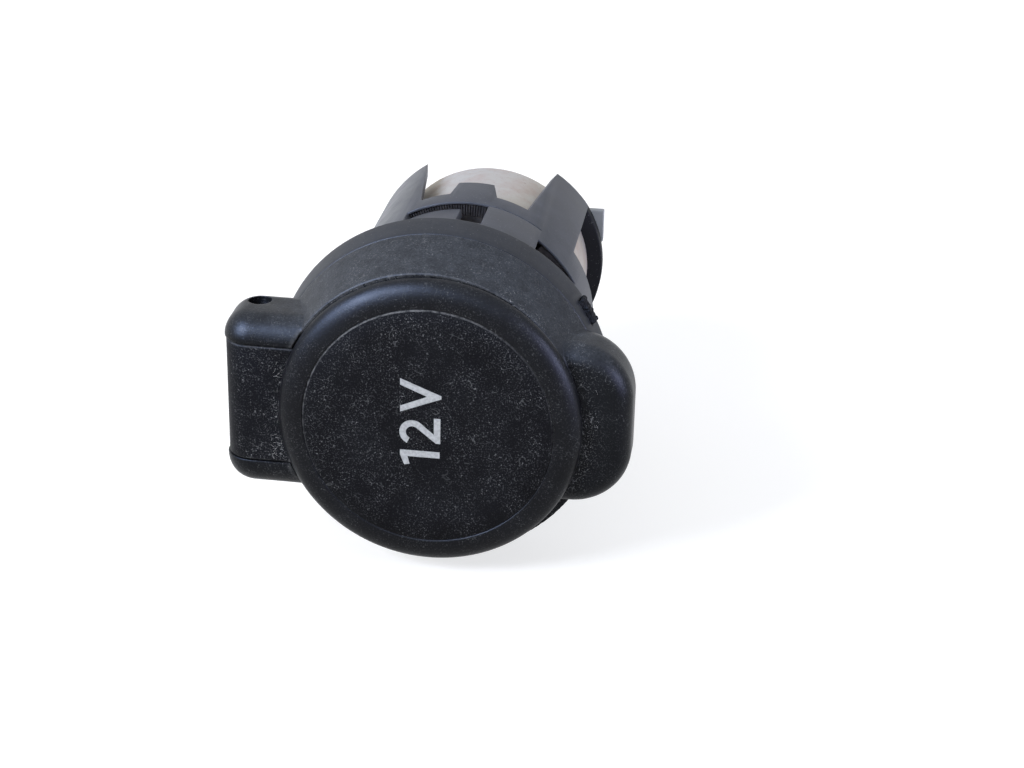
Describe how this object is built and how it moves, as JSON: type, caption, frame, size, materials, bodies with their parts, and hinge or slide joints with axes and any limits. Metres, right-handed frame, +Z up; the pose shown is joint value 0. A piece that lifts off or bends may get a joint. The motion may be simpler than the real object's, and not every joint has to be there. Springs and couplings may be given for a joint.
{
  "type": "car 12 v power socket",
  "caption": "Panel-mount car power socket: a plated steel barrel held in a plastic flange and clip ring, with a sprung hinged lid over its mouth and blade terminals behind.",
  "frame": {"origin": "on the socket's axis, in the plane of the flange's rear face that seats on the panel", "axes": "-Y out of the socket's mouth towards the lid, +Y back along the barrel, +Z up, hinge on the -X side"},
  "size_m": [0.0436, 0.0584, 0.0368],
  "materials": {
    "black_plastic": "fine moulded texture, dusty",
    "flange_plastic": "satin moulded",
    "grey_plastic": "satin moulded",
    "insulator_plastic": "pressed laminate",
    "black_rubber": "matt",
    "plated_steel": "dull zinc plate",
    "contact_brass": "stamped sheet"
  },
  "bodies": {
    "socket": {"flap_frame": "black_plastic", "hinge_pin": "plated_steel", "mounting_flange": "flange_plastic", "clip_ring": "grey_plastic", "anti_rattle_ring": "black_rubber", "rim_pads": "black_rubber", "socket_shell": "plated_steel", "front_insulator": "insulator_plastic", "centre_contact": "contact_brass", "contact_rivet": "contact_brass", "rivet_washer": "plated_steel", "rear_plate": "black_plastic", "terminal_base": "grey_plastic", "live_terminal": "contact_brass", "earth_terminal": "contact_brass", "earth_rivets": "plated_steel"},
    "lid": {"lid": "black_plastic", "lid_seal": "black_rubber", "lid_spring": "plated_steel"}
  },
  "joints": [
    {"name": "lid_hinge", "type": "hinge", "parent": "socket", "child": "lid", "pos_m": [-0.019, -0.0051, 0], "axis": [0, 0, -1], "range_deg": [0, 110], "stiffness_Nm_per_rad": 0.004, "springref_deg": -57.3}
  ]
}
